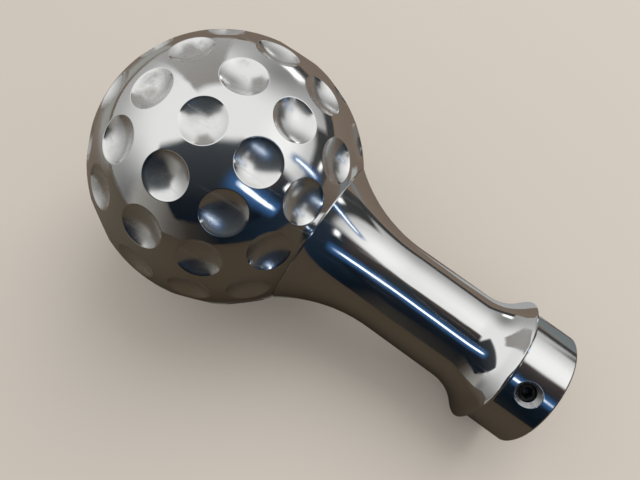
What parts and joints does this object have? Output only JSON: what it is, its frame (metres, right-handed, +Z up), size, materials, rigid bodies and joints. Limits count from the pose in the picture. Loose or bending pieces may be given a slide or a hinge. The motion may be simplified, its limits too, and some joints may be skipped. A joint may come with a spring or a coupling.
{
  "type": "gear shift knob",
  "caption": "Polished metal gear shift knob: a dimpled ball on a waisted stem with a flared flange and a collar that a radial set screw clamps to the lever.",
  "frame": {"origin": "centre of the collar's end face, where the lever enters", "axes": "+Z up the lever axis to the ball's crown, the set screw faces -Y"},
  "size_m": [0.055, 0.055, 0.1025],
  "materials": {
    "polished_ball": "mirror polished",
    "polished_stem": "mirror polished",
    "black_screw": "black oxide"
  },
  "bodies": {
    "knob": {"ball_head": "polished_ball", "stem": "polished_stem"},
    "screw": {"set_screw": "black_screw"}
  },
  "joints": [
    {"name": "screw_travel", "type": "slide", "parent": "knob", "child": "screw", "axis": [0, 1, 0], "range_m": [-0.001, 0.0008]}
  ]
}
